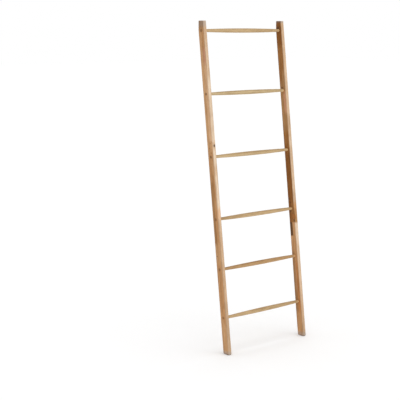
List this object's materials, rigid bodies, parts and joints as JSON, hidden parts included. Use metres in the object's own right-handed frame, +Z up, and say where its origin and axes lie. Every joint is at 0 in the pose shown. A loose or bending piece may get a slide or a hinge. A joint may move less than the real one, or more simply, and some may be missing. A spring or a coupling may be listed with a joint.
{
  "type": "towel ladder",
  "caption": "Leaning wooden towel ladder: slim eased rails joined by turned rungs that swell towards the middle, for hanging towels against a wall.",
  "frame": {"origin": "on the floor at the foot of the wall, midway between the rails", "axes": "+X across the ladder to the right, seen from the room; +Y back to the wall; +Z up"},
  "size_m": [0.578, 0.2679, 1.7876],
  "materials": {
    "rail_wood": "oiled, satin",
    "rung_wood": "oiled, satin",
    "plug_wood": "oiled, satin",
    "screw_steel": "bright",
    "pad_rubber": "matt"
  },
  "bodies": {
    "root": {"left_rail": "rail_wood", "right_rail": "rail_wood", "rung_1": "rung_wood", "rung_2": "rung_wood", "rung_3": "rung_wood", "rung_4": "rung_wood", "rung_5": "rung_wood", "rung_6": "rung_wood", "left_plug_1": "plug_wood", "left_plug_2": "plug_wood", "left_plug_3": "plug_wood", "left_plug_4": "plug_wood", "left_plug_5": "plug_wood", "left_plug_6": "plug_wood", "right_plug_1": "plug_wood", "right_plug_2": "plug_wood", "right_plug_3": "plug_wood", "right_plug_4": "plug_wood", "right_plug_5": "plug_wood", "right_plug_6": "plug_wood", "left_screws": "screw_steel", "right_screws": "screw_steel", "left_foot_pad": "pad_rubber", "right_foot_pad": "pad_rubber", "left_wall_pad": "pad_rubber", "right_wall_pad": "pad_rubber"}
  },
  "joints": []
}
